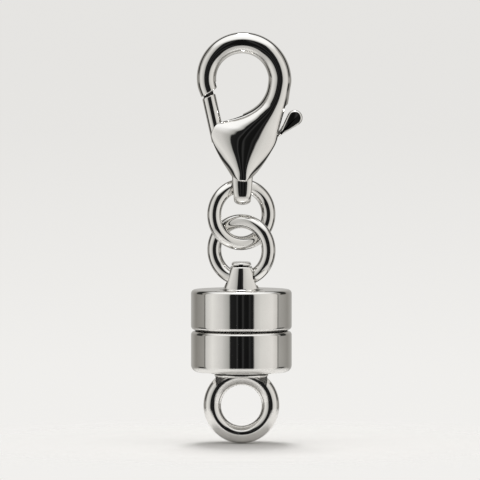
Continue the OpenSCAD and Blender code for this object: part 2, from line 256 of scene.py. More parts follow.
# %% Lay the floor
FLOOR_R = 32 * MM
FLOOR_CLEAR = 0.02 * MM
FLOOR_COLOUR, FLOOR_ROUGH = (0.76, 0.75, 0.735), 0.7
FADE_START, FADE_END = 0.2, 0.95

bpy.ops.object.select_all(action="DESELECT")
bpy.ops.mesh.primitive_circle_add(vertices=96, radius=FLOOR_R, fill_type="NGON",
                                  location=(0, 0, cad_lo.z - FLOOR_CLEAR))
floor = bpy.context.object
floor.name = "floor"
bpy.ops.object.transform_apply(location=True)

pale = bpy.data.materials.new("pale_floor")
pale.use_nodes = True
tree = pale.node_tree
shader = tree.nodes["Principled BSDF"]
shader.inputs["Base Color"].default_value = (*FLOOR_COLOUR, 1)
shader.inputs["Roughness"].default_value = FLOOR_ROUGH
radius = tree.nodes.new("ShaderNodeVectorMath")
radius.operation = "LENGTH"
flat = tree.nodes.new("ShaderNodeMapping")
flat.inputs["Scale"].default_value = (1 / FLOOR_R, 1 / FLOOR_R, 0)
tree.links.new(tree.nodes.new("ShaderNodeTexCoord").outputs["Object"], flat.inputs["Vector"])
tree.links.new(flat.outputs["Vector"], radius.inputs[0])
fade = ramp(tree, radius.outputs["Value"], [(FADE_START, 1.0), (FADE_END, 0.0)], "EASE")
from_below = tree.nodes.new("ShaderNodeNewGeometry").outputs["Backfacing"]
fade = maths(tree, "MULTIPLY", fade, maths(tree, "SUBTRACT", 1.0, from_below))
tree.links.new(fade, shader.inputs["Alpha"])
floor.data.materials.append(pale)
print("floor at z", floor.data.vertices[0].co.z / MM, "mm")

# %% [markdown]
# ## Polished plating
# Bright plating over brass is a clear mirror with a faint warm tint. Close up
# it has slow waves left by polishing, soft hazy patches from handling, and
# very fine upright hairlines. Each is a noise texture of its own size on the
# object's coordinates, so the finish is fixed to the metal. The magnets have
# the same recipe, duller and darker. The web under the collar and the faces
# at the seam and above the collar have it too, darkened much further: that
# darkness is painted shade, for the shade in the corner and in the gaps.

# %% Make the finishes
PATCHES_PER_MM, WAVES_PER_MM, LINES_PER_MM = 0.5, 0.8, 6.0
LINE_STRETCH = (1, 1, 0.12)
PATCH_DARK = 0.95


def plating(name, tint, haze, wave, hairline):
    """Makes a polished metal. Haze is its roughness, wave and hairline bumps."""
    material = bpy.data.materials.new(name)
    material.use_nodes = True
    tree = material.node_tree
    shader = tree.nodes["Principled BSDF"]
    shader.inputs["Metallic"].default_value = 1.0
    where = tree.nodes.new("ShaderNodeTexCoord").outputs["Object"]

    def noise(per_mm, detail, stretch=(1, 1, 1)):
        mapping = tree.nodes.new("ShaderNodeMapping")
        mapping.inputs["Scale"].default_value = tuple(s * per_mm / MM for s in stretch)
        tree.links.new(where, mapping.inputs["Vector"])
        node = tree.nodes.new("ShaderNodeTexNoise")
        node.inputs["Scale"].default_value = 1.0
        node.inputs["Detail"].default_value = detail
        tree.links.new(mapping.outputs["Vector"], node.inputs["Vector"])
        return node.outputs["Fac"]

    def bump(height, distance):
        node = tree.nodes.new("ShaderNodeBump")
        node.inputs["Strength"].default_value = 1.0
        node.inputs["Distance"].default_value = distance * MM
        tree.links.new(height, node.inputs["Height"])
        return node

    patches = noise(PATCHES_PER_MM, detail=3)
    darker = tuple(PATCH_DARK * c for c in tint)
    tree.links.new(ramp(tree, patches, [(0.35, darker), (0.65, tint)]),
                   shader.inputs["Base Color"])
    lines = noise(LINES_PER_MM, detail=2, stretch=LINE_STRETCH)
    rough = ramp(tree, patches, [(0.35, haze[0]), (0.7, haze[1])])
    rough = maths(tree, "MULTIPLY", rough, ramp(tree, lines, [(0.4, 0.85), (0.7, 1.2)]))
    tree.links.new(rough, shader.inputs["Roughness"])

    slow = bump(noise(WAVES_PER_MM, detail=1), wave)
    fine = bump(lines, hairline)
    tree.links.new(slow.outputs["Normal"], fine.inputs["Normal"])
    tree.links.new(fine.outputs["Normal"], shader.inputs["Normal"])
    return material


polished = plating("polished_plating", (0.87, 0.86, 0.84), (0.03, 0.07), 0.002, 0.0001)
nickel = plating("magnet_nickel", (0.66, 0.64, 0.61), (0.16, 0.28), 0.002, 0.0006)
# Painted shade: the web's metal is duller and unpolished, and its colour is darkened for the shade in
# the corner under the collar.
corner = plating("corner_painted_shade", (0.42, 0.41, 0.39), (0.26, 0.38), 0.004, 0.0004)
# Painted shade: this near-black matte finish stands in for the shadow in the seam between the halves
# and under the barrel's bottom edge.
painted_shade = plating("painted_shade_faces", (0.08, 0.08, 0.075), (0.35, 0.50), 0.002, 0.0006)
FINISH = {"polished": polished, "magnet_plate": nickel, "corner": corner, "painted_shade": painted_shade}
print("finishes:", list(FINISH))

# %% [markdown]
# ## How the pieces are made
# Round pieces are turned: one vertex is extruded along the outline of half a
# section and spun round an axis. Bent and cast pieces are skinned: a ring of
# vertices is extruded once for every row, and each ring is then laid on its
# section. Plates are an outline that is extruded and bevelled. Values are in
# millimetres and mm() turns them into metres.

# %% Helpers for meshes
# Places closer than this count as one.
SAME = 1e-4 * MM


def mm(*values):
    """Turns millimetres into a vector in metres."""
    return Vector(values) * MM


def deselect():
    """Leaves edit mode and selects nothing."""
    if bpy.context.object and bpy.context.object.mode != "OBJECT":
        bpy.ops.object.mode_set(mode="OBJECT")
    bpy.ops.object.select_all(action="DESELECT")


def begin_edit(obj):
    """Selects one piece and all of its mesh in edit mode."""
    deselect()
    obj.select_set(True)
    bpy.context.view_layer.objects.active = obj
    bpy.ops.object.mode_set(mode="EDIT")
    bpy.ops.mesh.select_all(action="SELECT")


def pick(obj, test, kind="EDGE"):
    """Selects in edit mode the edges, faces or vertices that pass a test."""
    bpy.ops.mesh.select_all(action="DESELECT")
    bpy.ops.mesh.select_mode(type=kind)
    mesh = bmesh.from_edit_mesh(obj.data)
    found = 0
    for part in {"EDGE": mesh.edges, "FACE": mesh.faces, "VERT": mesh.verts}[kind]:
        if test(part):
            part.select_set(True)
            found += 1
    mesh.select_flush_mode()
    bmesh.update_edit_mesh(obj.data)
    return found


def clean(obj, smooth=35):
    """Merges doubles, turns faces outwards and smooths all but sharp edges."""
    begin_edit(obj)
    bpy.ops.mesh.remove_doubles(threshold=SAME)
    bpy.ops.mesh.normals_make_consistent(inside=False)
    bpy.ops.object.mode_set(mode="OBJECT")
    bpy.ops.object.shade_smooth_by_angle(angle=math.radians(smooth))


def finish_piece(obj, name, body, *nodes, slot="polished", finish=None):
    """Names a piece, gives it its finish, and fixes it to its body."""
    obj.name = obj.data.name = name
    obj.data.materials.clear()
    obj.data.materials.append(FINISH[finish or slot])
    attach(obj, body)
    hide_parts(*nodes)
    print(name, "has", len(obj.data.polygons), "faces")
    return obj


def arc(centre, radius, first, last, steps=8):
    """Gives points along an arc, in degrees, in a plane of two coordinates."""
    turns = [math.radians(first + (last - first) * i / steps) for i in range(steps + 1)]
    return [(centre[0] + radius * math.cos(t), centre[1] + radius * math.sin(t)) for t in turns]


def turned(outline, sides=160):
    """Spins an outline of (radius, height) points round the upright axis."""
    deselect()
    # A tiny plane that is merged to its centre is the first vertex.
    bpy.ops.mesh.primitive_plane_add(size=0.01 * MM, location=mm(outline[0][0], 0, outline[0][1]))
    obj = bpy.context.object
    bpy.ops.object.transform_apply(location=True)
    bpy.ops.object.mode_set(mode="EDIT")
    bpy.ops.mesh.select_all(action="SELECT")
    bpy.ops.mesh.merge(type="CENTER")
    for here, there in zip(outline, outline[1:]):
        step = mm(there[0] - here[0], 0, there[1] - here[1])
        bpy.ops.mesh.extrude_region_move(TRANSFORM_OT_translate={"value": step})
    bpy.ops.mesh.select_all(action="SELECT")
    bpy.ops.mesh.spin(steps=sides, angle=2 * math.pi, center=(0, 0, 0), axis=(0, 0, 1))
    clean(obj)
    return obj


def box_mm(node):
    """Gives a solid's lowest and highest corners in millimetres."""
    lo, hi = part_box(node)
    return lo / MM, hi / MM


# %% [markdown]
# ## Barrel halves
# Each half is a cup turned on a lathe: a round wall, softly rounded edges, and
# a pocket for its magnet at the seam. Points close to each rounded edge keep
# the wall's reflections straight up to where the rounding starts. The upper
# half has a round foot with a low ledge, on which the bail stands.

# %% Turn the upper half
UPPER_H = 3.22
TOP_EDGE = 0.32
SEAM_EDGE = 0.30
MAGNET_H, MAGNET_PLAY = 2.0, 0.03
FOOT_H, FOOT_R, FOOT_EDGE = 0.2, 1.44, 0.06
LEDGE_W, LEDGE_H, LEDGE_EDGE = 0.3, 0.05, 0.04
HOLD = 0.04

cup_lo, cup_hi = box_mm("upper_cup")
barrel_r = cup_hi.x
seam_z = cup_lo.z
top_z = seam_z + UPPER_H
pocket_r = box_mm("upper_magnet")[1].x + MAGNET_PLAY
seat_z = seam_z + MAGNET_H + MAGNET_PLAY

upper_outline = (
    [(0, top_z + FOOT_H), (FOOT_R - FOOT_EDGE, top_z + FOOT_H)]
    + arc((FOOT_R - FOOT_EDGE, top_z + FOOT_H - FOOT_EDGE), FOOT_EDGE, 80, 0, 4)
    + [(FOOT_R, top_z + LEDGE_H), (FOOT_R + LEDGE_W, top_z + LEDGE_EDGE),
       (FOOT_R + LEDGE_W + LEDGE_EDGE, top_z), (barrel_r - TOP_EDGE - HOLD, top_z)]
    + arc((barrel_r - TOP_EDGE, top_z - TOP_EDGE), TOP_EDGE, 90, 0, 10)
    + [(barrel_r, top_z - TOP_EDGE - HOLD), (barrel_r, seam_z + SEAM_EDGE + HOLD)]
    + arc((barrel_r - SEAM_EDGE, seam_z + SEAM_EDGE), SEAM_EDGE, 0, -90)
    + [(barrel_r - SEAM_EDGE - HOLD, seam_z), (pocket_r, seam_z), (pocket_r, seat_z), (0, seat_z)])
upper_cup = turned(upper_outline)
finish_piece(upper_cup, "upper_half", "upper_half", "upper_cup")

# %% [markdown]
# The lower half is the same cup the other way up. Under it a short collar, with
# a neck and a round bead, leads to the eye. It is part of the turned outline.

# %% Turn the lower half
LOWER_H = 3.28
LOW_EDGE = 0.55
COLLAR_R, COLLAR_H, COLLAR_LIP = 2.16, 0.4, 0.02
NECK_IN, NECK_HIGH, NECK_LOW = 0.14, 0.04, 0.1
BEAD_R, BEAD_DOWN = 0.12, 0.25

low_lo, low_hi = box_mm("lower_cup")
lower_top_z = low_hi.z
lower_end_z = lower_top_z - LOWER_H
lower_seat_z = lower_top_z - MAGNET_H - MAGNET_PLAY
collar_z = lower_end_z - COLLAR_H

lower_outline = (
    [(0, lower_seat_z), (pocket_r, lower_seat_z), (pocket_r, lower_top_z),
     (barrel_r - SEAM_EDGE - HOLD, lower_top_z)]
    + arc((barrel_r - SEAM_EDGE, lower_top_z - SEAM_EDGE), SEAM_EDGE, 90, 0)
    + [(barrel_r, lower_top_z - SEAM_EDGE - HOLD), (barrel_r, lower_end_z + LOW_EDGE + HOLD)]
    + arc((barrel_r - LOW_EDGE, lower_end_z + LOW_EDGE), LOW_EDGE, 0, -90, 10)
    + [(barrel_r - LOW_EDGE - HOLD, lower_end_z), (COLLAR_R - COLLAR_LIP, lower_end_z),
       (COLLAR_R - NECK_IN, lower_end_z - NECK_HIGH), (COLLAR_R - NECK_IN, lower_end_z - NECK_LOW)]
    + arc((COLLAR_R - BEAD_R, lower_end_z - BEAD_DOWN), BEAD_R, 80, -80, 10)
    + [(COLLAR_R - NECK_IN, collar_z), (0, collar_z)])
lower_cup = turned(lower_outline)
finish_piece(lower_cup, "lower_half", "lower_half", "lower_cup")

# %% [markdown]
# The flat faces where the halves meet are ground and matte, and their colour is
# painted near black for the shade in the gap, so the seam shows as a dark line.
# Each is a thin ring let into its cup. The narrow step above the collar is
# painted the same, for the shadow under the barrel's bottom edge.

# %% Turn the painted shade faces
FACE_T, FACE_OUT, FACE_IN = 0.03, 0.005, 0.01
STEP_R, STEP_H, STEP_HOLD = 2.5, 0.10, 0.3


def flat_ring(inner, outer, low, high):
    """Turns a ring of rectangular section."""
    return turned([(inner, low), (outer, low), (outer, high), (inner, high), (inner, low)])


def painted_shade_face(name, body, node, z, way):
    """Turns one mating face at a height. Way is 1 for a face that looks up."""
    # Painted shade: the mating face is near black for the shade inside the seam.
    face = flat_ring(pocket_r + FACE_IN, barrel_r - SEAM_EDGE, z - way * FACE_T, z + way * FACE_OUT)
    return finish_piece(face, name, body, node, finish="painted_shade")


painted_shade_face("painted_shade_face_upper", "upper_half", "upper_cup", seam_z, -1)
painted_shade_face("painted_shade_face_lower", "lower_half", "lower_cup", lower_top_z, 1)

# Painted shadow: the step above the collar is near black for the shadow under the barrel's bottom
# edge.
collar_step = flat_ring(COLLAR_R - STEP_HOLD, STEP_R, lower_end_z - STEP_H, lower_end_z + FACE_OUT)
finish_piece(collar_step, "collar_step", "lower_half", "lower_cup", finish="painted_shade")

# %% [markdown]
# ## Magnets
# Two nickel-plated discs fill the pockets. They only show when the barrel is
# pulled apart, but then their bevelled rims tell what holds the halves.

# %% Turn the magnets
MAGNET_EDGE = 0.15


def magnet(name, body, node):
    """Turns one disc magnet in the place of its solid."""
    lo, hi = box_mm(node)
    r = hi.x
    outline = ([(0, hi.z), (r - MAGNET_EDGE - HOLD, hi.z)]
               + arc((r - MAGNET_EDGE, hi.z - MAGNET_EDGE), MAGNET_EDGE, 90, 0, 4)
               + [(r, hi.z - MAGNET_EDGE - HOLD), (r, lo.z + MAGNET_EDGE + HOLD)]
               + arc((r - MAGNET_EDGE, lo.z + MAGNET_EDGE), MAGNET_EDGE, 0, -90, 4)
               + [(r - MAGNET_EDGE - HOLD, lo.z), (0, lo.z)])
    return finish_piece(turned(outline, 96), name, body, node, slot="magnet_plate")


magnet("disc_magnet_upper", "upper_half", "upper_magnet")
magnet("disc_magnet_lower", "lower_half", "lower_magnet")

# %% [markdown]
# ## Jump rings
# A jump ring is round wire bent into a circle. A circle of the wire's section
# is spun about the ring's own level axis, and the ring is turned a little
# about the upright, so that the two rings pass through one another.

# %% Bend the jump rings
RING_WIRE = 1.12


def jump_ring(name, node, way):
    """Spins one ring in the place of its solid. Way is 1 or -1, its turn."""
    lo, hi = box_mm(node)
    centre = (lo + hi) / 2
    ring_r = (hi.z - lo.z - RING_WIRE) / 2
    ring_turn = way * math.asin(((hi.y - lo.y) - RING_WIRE) / 2 / ring_r)
    deselect()
    bpy.ops.mesh.primitive_circle_add(vertices=40, radius=RING_WIRE / 2 * MM,
                                      location=mm(ring_r, 0, centre.z))
    ring = bpy.context.object
    bpy.ops.object.transform_apply(location=True)
    bpy.ops.object.mode_set(mode="EDIT")
    bpy.ops.mesh.select_all(action="SELECT")
    bpy.ops.mesh.spin(steps=144, angle=2 * math.pi, center=mm(0, 0, centre.z), axis=(0, 1, 0))
    bpy.ops.object.mode_set(mode="OBJECT")
    ring.rotation_euler = (0, 0, ring_turn)
    bpy.ops.object.transform_apply(rotation=True)
    clean(ring, 180)
    print(name, "turned by", round(math.degrees(ring_turn), 2), "degrees")
    return finish_piece(ring, name, "clasp", node)


jump_ring("jump_ring_upper", "ring_upper", 1)
jump_ring("jump_ring_lower", "ring_lower", -1)

# %% [markdown]
# ## Eye
# The eye under the barrel is a thick ring with a short straight bore at its
# waist. Its section is a circle with the inner side cut flat, so it is spun like
# a jump ring, from a circle that is cut first.

# %% Spin the eye
EYE_WIRE, EYE_HOLE_R, EYE_LAND = 1.4, 1.68, 0.5

eye_r = EYE_HOLE_R + math.sqrt(EYE_WIRE ** 2 - EYE_LAND ** 2) / 2
eye_z = low_lo.z + eye_r + EYE_WIRE / 2
deselect()
bpy.ops.mesh.primitive_circle_add(vertices=48, radius=EYE_WIRE / 2 * MM, location=mm(eye_r, 0, eye_z))
eye = bpy.context.object
bpy.ops.object.transform_apply(location=True)
bpy.ops.object.mode_set(mode="EDIT")
bpy.ops.mesh.select_all(action="SELECT")
bpy.ops.mesh.bisect(plane_co=mm(EYE_HOLE_R, 0, eye_z), plane_no=(1, 0, 0), clear_inner=True)
pick(eye, lambda v: v.co.x < EYE_HOLE_R * MM + SAME, "VERT")
bpy.ops.mesh.edge_face_add()
bpy.ops.mesh.select_all(action="SELECT")
bpy.ops.mesh.spin(steps=160, angle=2 * math.pi, center=mm(0, 0, eye_z), axis=(0, 1, 0))
clean(eye, 20)
finish_piece(eye, "eye", "lower_half", "lower_cup")

# %% [markdown]
# ## Web
# Thin metal fills the corner between the collar and the eye on each side, as
# cast metal does. It isn't polished, and its colour is painted dark for the
# shade in that corner. Each is a plate: its outline follows the eye's ring, and
# the left one is the right one's mirror image.

# %% Helpers for plates
def prism(points, step):
    """Extrudes an outline of points by a step and stays in edit mode."""
    deselect()
    bpy.ops.mesh.primitive_circle_add(vertices=len(points), radius=MM, fill_type="NGON")
    obj = bpy.context.object
    for vertex, point in zip(obj.data.vertices, points):
        vertex.co = point
    bpy.ops.object.mode_set(mode="EDIT")
    bpy.ops.mesh.select_all(action="SELECT")
    bpy.ops.mesh.extrude_region_move(TRANSFORM_OT_translate={"value": step})
    return obj


def plate(outline, width, edge=0, segments=4):
    """Extrudes an outline of (x, z) points to a plate and bevels its rims."""
    obj = prism([mm(x, -width / 2, z) for x, z in outline], mm(0, width, 0))
    if edge:
        bpy.ops.mesh.select_all(action="SELECT")
        bpy.ops.mesh.normals_make_consistent(inside=False)
        pick(obj, lambda e: abs(e.verts[0].co.y - e.verts[1].co.y) < SAME)
        bpy.ops.mesh.bevel(offset=edge * MM, segments=segments, affect="EDGES")
    clean(obj, 30)
    return obj


# %% Cut the web
WEB_T = 1.34
WEB_OUT_R, WEB_OUT_A, WEB_LOW_A, WEB_TRIM_A = 2.95, 45, 33, 2
WEB_TOP, WEB_BELOW, WEB_INTO = 2.08, 0.1, 0.05

web_high_a = math.degrees(math.asin((collar_z - WEB_BELOW - eye_z) / WEB_OUT_R))
right_web = (arc((0, eye_z), eye_r, 90 - WEB_TRIM_A, WEB_LOW_A, 12)
             + arc((0, eye_z), WEB_OUT_R, WEB_OUT_A, web_high_a - WEB_TRIM_A, 4)
             + [(WEB_TOP, collar_z + WEB_INTO), (0, collar_z + WEB_INTO)])
for side, way in (("left", -1), ("right", 1)):
    # Painted shade: the corner finish darkens the web for the shade where it sits.
    web = plate([(way * x, z) for x, z in right_web], WEB_T)
    finish_piece(web, "eye_web_" + side, "lower_half", "lower_cup", finish="corner")

# %% [markdown]
# ## Hook and body
# The hook, its domed body and the loop under it are cast in one. The casting
# is an oval bar that bends round the crown, thins towards its tip, and swells
# into a body with upright side walls and a soft ridge. So it is skinned: each
# row of the table is one section, with its right and left edges, its depth, how
# full it is, and how much of its depth is wall.

# %% Rows of the hook
BEND_IN_R, TIP_WIRE, ROOT_WIRE = 2.16, 1.34, 1.84
TIP_SWELL = 0.16
BODY_L, BODY_T = 8.2, 3.4
TIP_OUT_A, TIP_IN_A = 204.5, 198.5
BEND_ROWS, ROW_STEPS, SIDES = 14, 7, 72

bend_z = -BEND_IN_R
root_x = BEND_IN_R + ROOT_WIRE
dome_z = bend_z - BODY_L

# Right x and left x are shares of root_x, right z and left z shares of BODY_L
# below the bend's centre, depth a share of BODY_T. Fullness is given for the
# right and the left half of a section: 1 is an oval and less is squarer. Ridge
# is how far the section's ridge lies to the right, as a share of its half width.
# Wall is the share of the depth that stands upright at the sides.
BODY_TABLE = [
    # right x, right z, left x, left z, depth, right full, left full, ridge, wall
    (0.972, 0.107, 0.502, 0.112, 0.54, 1.00, 1.00, 0.00, 0.00),
    (0.938, 0.215, 0.396, 0.208, 0.61, 0.98, 1.00, 0.00, 0.04),
    (0.896, 0.310, 0.241, 0.278, 0.70, 0.96, 1.01, 0.00, 0.12),
    (0.846, 0.392, 0.044, 0.332, 0.75, 0.94, 1.02, 0.01, 0.22),
    (0.790, 0.472, -0.153, 0.372, 0.80, 0.92, 1.05, 0.02, 0.32),
    (0.738, 0.551, -0.332, 0.402, 0.85, 0.90, 1.13, 0.03, 0.40),
    (0.682, 0.630, -0.502, 0.440, 0.905, 0.88, 1.14, 0.05, 0.46),
    (0.590, 0.710, -0.604, 0.523, 0.972, 0.86, 1.02, 0.06, 0.50),
    (0.478, 0.797, -0.566, 0.621, 1.00, 0.86, 0.96, 0.08, 0.51),
    (0.355, 0.880, -0.430, 0.760, 1.00, 0.84, 0.98, 0.10, 0.52),
    (0.250, 0.938, -0.275, 0.880, 0.99, 0.72, 0.88, 0.12, 0.53),
    (0.190, 0.968, -0.190, 0.945, 0.97, 0.52, 0.66, 0.12, 0.54),
    (0.135, 0.990, -0.105, 0.984, 0.95, 0.32, 0.38, 0.06, 0.46)]
END_ROWS = 2, 4


def bend_row(share):
    """Gives a row of the bend, from the tip at 0 to the root at 1."""
    out_a = math.radians(TIP_OUT_A * (1 - share))
    in_a = math.radians(TIP_IN_A * (1 - share))
    wire = TIP_WIRE + (ROOT_WIRE - TIP_WIRE) * share
    out_r, in_r = BEND_IN_R + wire, BEND_IN_R - TIP_SWELL * (1 - share)
    return (out_r * math.cos(out_a), bend_z + out_r * math.sin(out_a), in_r * math.cos(in_a),
            bend_z + in_r * math.sin(in_a), out_r - in_r, 1.0, 1.0, 0.0, 0.0)


def body_row(right_x, right_z, left_x, left_z, depth, *form):
    """Gives a row of the body in millimetres."""
    return (right_x * root_x, bend_z - right_z * BODY_L, left_x * root_x,
            bend_z - left_z * BODY_L, depth * BODY_T, *form)


def smooth_rows(marks, steps):
    """Runs a smooth curve through rows of numbers."""
    rows = []
    for i in range(len(marks) - 1):
        a, b, c, d = (marks[min(max(k, 0), len(marks) - 1)] for k in (i - 1, i, i + 1, i + 2))
        for k in range(steps):
            t = k / steps
            rows.append(tuple(
                0.5 * (2 * q + (r - p) * t + (2 * p - 5 * q + 4 * r - s) * t ** 2
                       + (3 * q - p - 3 * r + s) * t ** 3)
                for p, q, r, s in zip(a, b, c, d)))
    return rows + [marks[-1]]


hook_rows = smooth_rows([bend_row(i / BEND_ROWS) for i in range(BEND_ROWS + 1)]
                        + [body_row(*row) for row in BODY_TABLE], ROW_STEPS)
# A few rows beside the two ends make room for the rounding of their rims.
hook_rows = hook_rows[:1] + hook_rows[1 + END_ROWS[0]:-1 - END_ROWS[1]] + hook_rows[-1:]
print("hook rows:", len(hook_rows))

# %% Skin the hook
WALL_SHARP, DOME_FALL = 0.05, 2.2


def power(value, exponent):
    """Raises a number to a power and keeps its sign."""
    return math.copysign(abs(value) ** exponent, value)


def oval_section(row, sides=SIDES):
    """Gives the points of one section from a row."""
    right_x, right_z, left_x, left_z, depth, right_full, left_full, ridge, wall = row
    points = []
    for j in range(sides):
        a = 2 * math.pi * j / sides
        full = right_full if math.cos(a) > 0 else left_full
        u = power(math.cos(a), full)
        u += ridge * (1 - u * u)
        v = ((1 - wall) * power(math.sin(a), full + DOME_FALL * wall)
             + wall * power(math.sin(a), WALL_SHARP))
        points.append(mm((right_x + left_x) / 2 + (right_x - left_x) / 2 * u, depth / 2 * v,
                         (right_z + left_z) / 2 + (right_z - left_z) / 2 * u))
    return points


def skinned(rings):
    """Extrudes a ring once a row and lays each ring on its section."""
    deselect()
    bpy.ops.mesh.primitive_circle_add(vertices=len(rings[0]), radius=MM, fill_type="NGON")
    obj = bpy.context.object
    bpy.ops.object.mode_set(mode="EDIT")
    bpy.ops.mesh.select_all(action="SELECT")
    for _ in rings[1:]:
        bpy.ops.mesh.extrude_region_move(TRANSFORM_OT_translate={"value": mm(0, 0, 1)})
    bpy.ops.object.mode_set(mode="OBJECT")
    sides = len(rings[0])
    edges = [sorted(edge.vertices) for edge in obj.data.edges]
    following = {low: high for low, high in edges if low // sides + 1 == high // sides}
    order = range(sides)
    for ring in rings:
        for index, point in zip(order, ring):
            obj.data.vertices[index].co = point
        order = [following.get(index) for index in order]
    clean(obj, 60)
    return obj


hook = skinned([oval_section(row) for row in hook_rows])
print("hook skin:", len(hook.data.vertices), "vertices")

# %% Round the rims at the hook's tip and at the dome's end
RIM_ROUND = 0.09

begin_edit(hook)
ends = pick(hook, lambda e: {len(f.verts) for f in e.link_faces} == {4, SIDES})
bpy.ops.mesh.bevel(offset=RIM_ROUND * MM, segments=4, affect="EDGES")
deselect()
print("edges round the two ends:", ends)

# %% [markdown]
# ## Tail loop
# Under the dome a strap bends down, round and up again, and holds the upper
# ring. Its outside is crowned. It is skinned from side to side: every ring is
# the strap's outline seen from the side, and shrinks towards the two edges. It
# reaches into the body and is joined to it without a union, which keeps the
# faces of both skins even.

# %% Skin the tail loop
TAIL_TOP_W, TAIL_END_W = 1.72, 1.3
TAIL_T, TAIL_BEND_R = 3.023, 0.9
TAIL_CROWN, TAIL_LEAN = 0.34, 0.4
TAIL_X, TAIL_IN, TAIL_UNDER = 0.08, 0.1, 0.66
TAIL_STEPS, CROWN_STEPS = 12, 20
HOLE_R, HOLE_SHIFT, HOLE_Z = 0.8716, 0.24, -10.647

tail_top_z = dome_z + TAIL_IN * BODY_L
tail_low_z = HOLE_Z - HOLE_R - TAIL_UNDER


def strap_half_width(z):
    """Gives half the strap's width at a height."""
    share = (z - tail_low_z) / (tail_top_z - tail_low_z)
    return (TAIL_END_W + (TAIL_TOP_W - TAIL_END_W) * share) / 2


def strap_outline(share):
    """Gives the side outline at a share of the width, -1 to 1."""
    shrink = TAIL_CROWN * (1 - math.sqrt(1 - share * share))
    half, low, r = TAIL_T / 2 - shrink, tail_low_z + shrink, TAIL_BEND_R - shrink / 2
    heights = [tail_top_z + (low + r - tail_top_z) * i / TAIL_STEPS for i in range(TAIL_STEPS)]
    side = [(TAIL_LEAN * max(z - HOLE_Z, 0) ** 2 - half, z) for z in heights]
    outline = (side + arc((-half + r, low + r), r, 180, 270, TAIL_STEPS)
               + arc((half - r, low + r), r, 270, 360, TAIL_STEPS)
               + [(-y, z) for y, z in reversed(side)])
    return [mm(TAIL_X + share * strap_half_width(z), y, z) for y, z in outline]


tail = skinned([strap_outline(-math.cos(math.pi * i / CROWN_STEPS))
                for i in range(CROWN_STEPS + 1)])
print("tail loop:", len(tail.data.vertices), "vertices")

# %% Helpers to cut and to join
def cut(obj, tool):
    """Cuts a tool away from a piece and deletes the tool."""
    change = obj.modifiers.new("cut", "BOOLEAN")
    change.object, change.operation, change.solver = tool, "DIFFERENCE", "EXACT"
    deselect()
    obj.select_set(True)
    bpy.context.view_layer.objects.active = obj
    bpy.ops.object.modifier_apply(modifier=change.name)
    bpy.data.objects.remove(tool)


def join(obj, *others):
    """Joins finished meshes into the first."""
    deselect()
    for part in (obj, *others):
        part.select_set(True)
    bpy.context.view_layer.objects.active = obj
    bpy.ops.object.join()


def round_bar(radius, length, middle, turned_by, sides=48):
    """Adds a round bar at a place in millimetres, turned from the upright."""
    deselect()
    bpy.ops.mesh.primitive_cylinder_add(vertices=sides, radius=radius * MM, depth=length * MM,
                                        location=mm(*middle), rotation=turned_by)
    bpy.ops.object.transform_apply(location=True, rotation=True)
    return bpy.context.object


# %% [markdown]
# A dark wedge shows where the gate's finger meets the hook's tip. There a flat
# tongue on the finger closes into a notch in the tip, so that a thin chain
# can't slip out. The notch is open towards the inside, where the gate swings.

# %% Cut the notch in the tip
FINGER_LEAN, FINGER_OUT = math.radians(12.5), 0.13
TONGUE_W, TONGUE_H, TONGUE_T = 0.86, 0.4, 0.5
NOTCH_PLAY, NOTCH_RISE, NOTCH_PAST, NOTCH_IN = 0.06, 0.75, 0.6, 1.3

tip_row = bend_row(0)
finger_dir = Vector((math.sin(FINGER_LEAN), -math.cos(FINGER_LEAN)))
finger_side = Vector((math.cos(FINGER_LEAN), math.sin(FINGER_LEAN)))
tip_mid = Vector(((tip_row[0] + tip_row[2]) / 2, (tip_row[1] + tip_row[3]) / 2))
tip_mid -= FINGER_OUT * finger_side
notch_w = TONGUE_W / 2 + NOTCH_PLAY
notch = [tip_mid + finger_side * w + finger_dir * d
         for w, d in ((-notch_w, NOTCH_PAST), (NOTCH_IN, NOTCH_PAST),
                      (NOTCH_IN, -TONGUE_H / 2 - NOTCH_RISE), (-notch_w, -TONGUE_H / 2))]
cut(hook, plate(notch, TONGUE_T + 2 * NOTCH_PLAY))
print("notch:", round(TONGUE_T + 2 * NOTCH_PLAY, 2), "mm wide")

# %% [markdown]
# The body has a slot for the gate, open to both sides, and a round hole for its
# pin. The upper ring's hole runs from side to side and is drawn out to front and
# back, which leaves the ring room. Each is a boolean cut with a simple solid.

# %% Cut the slot and the holes
SLOT_W = 1.16
HUB_R, SLOT_ROOM, SLOT_WEB = 1.25, 0.2, 0.36
SLOT_LEFT, SLOT_RIGHT, SLOT_OUT = 0.34, 0.4, 1.15
PIN_PLAY, PIN_HOLE_L = 0.01, 4

pin_lo, pin_hi = box_mm("gate_pin")
pivot = Vector(((pin_lo.x + pin_hi.x) / 2, (pin_lo.z + pin_hi.z) / 2))
slot_low_z = HOLE_Z + HOLE_R + SLOT_WEB
slot_left_z = pivot.y + SLOT_LEFT * BODY_L
slot_right_z = pivot.y + SLOT_RIGHT * BODY_L
# The slot's upper edge: x is a share of root_x to the right of the pin.
slot_edge = [(-0.06, slot_left_z), (0.09, pivot.y + HUB_R + SLOT_ROOM),
             (0.5, pivot.y + HUB_R + 2 * SLOT_ROOM), (0.93, slot_right_z), (SLOT_OUT, slot_right_z),
             (SLOT_OUT, slot_low_z)]
slot_outline = ([(-root_x, slot_left_z)] + [(pivot.x + x * root_x, z) for x, z in slot_edge]
                + [(-root_x, slot_low_z)])
cut(hook, plate(slot_outline, SLOT_W))


def cross_hole(r, shift, z, width=6, steps=32):
    """Makes a tool along X: a round bar drawn out to front and back."""
    outline = arc((shift, z), r, -90, 90, steps) + arc((-shift, z), r, 90, 270, steps)
    tool = prism([mm(-width / 2, y, up) for y, up in outline], mm(width, 0, 0))
    clean(tool)
    return tool


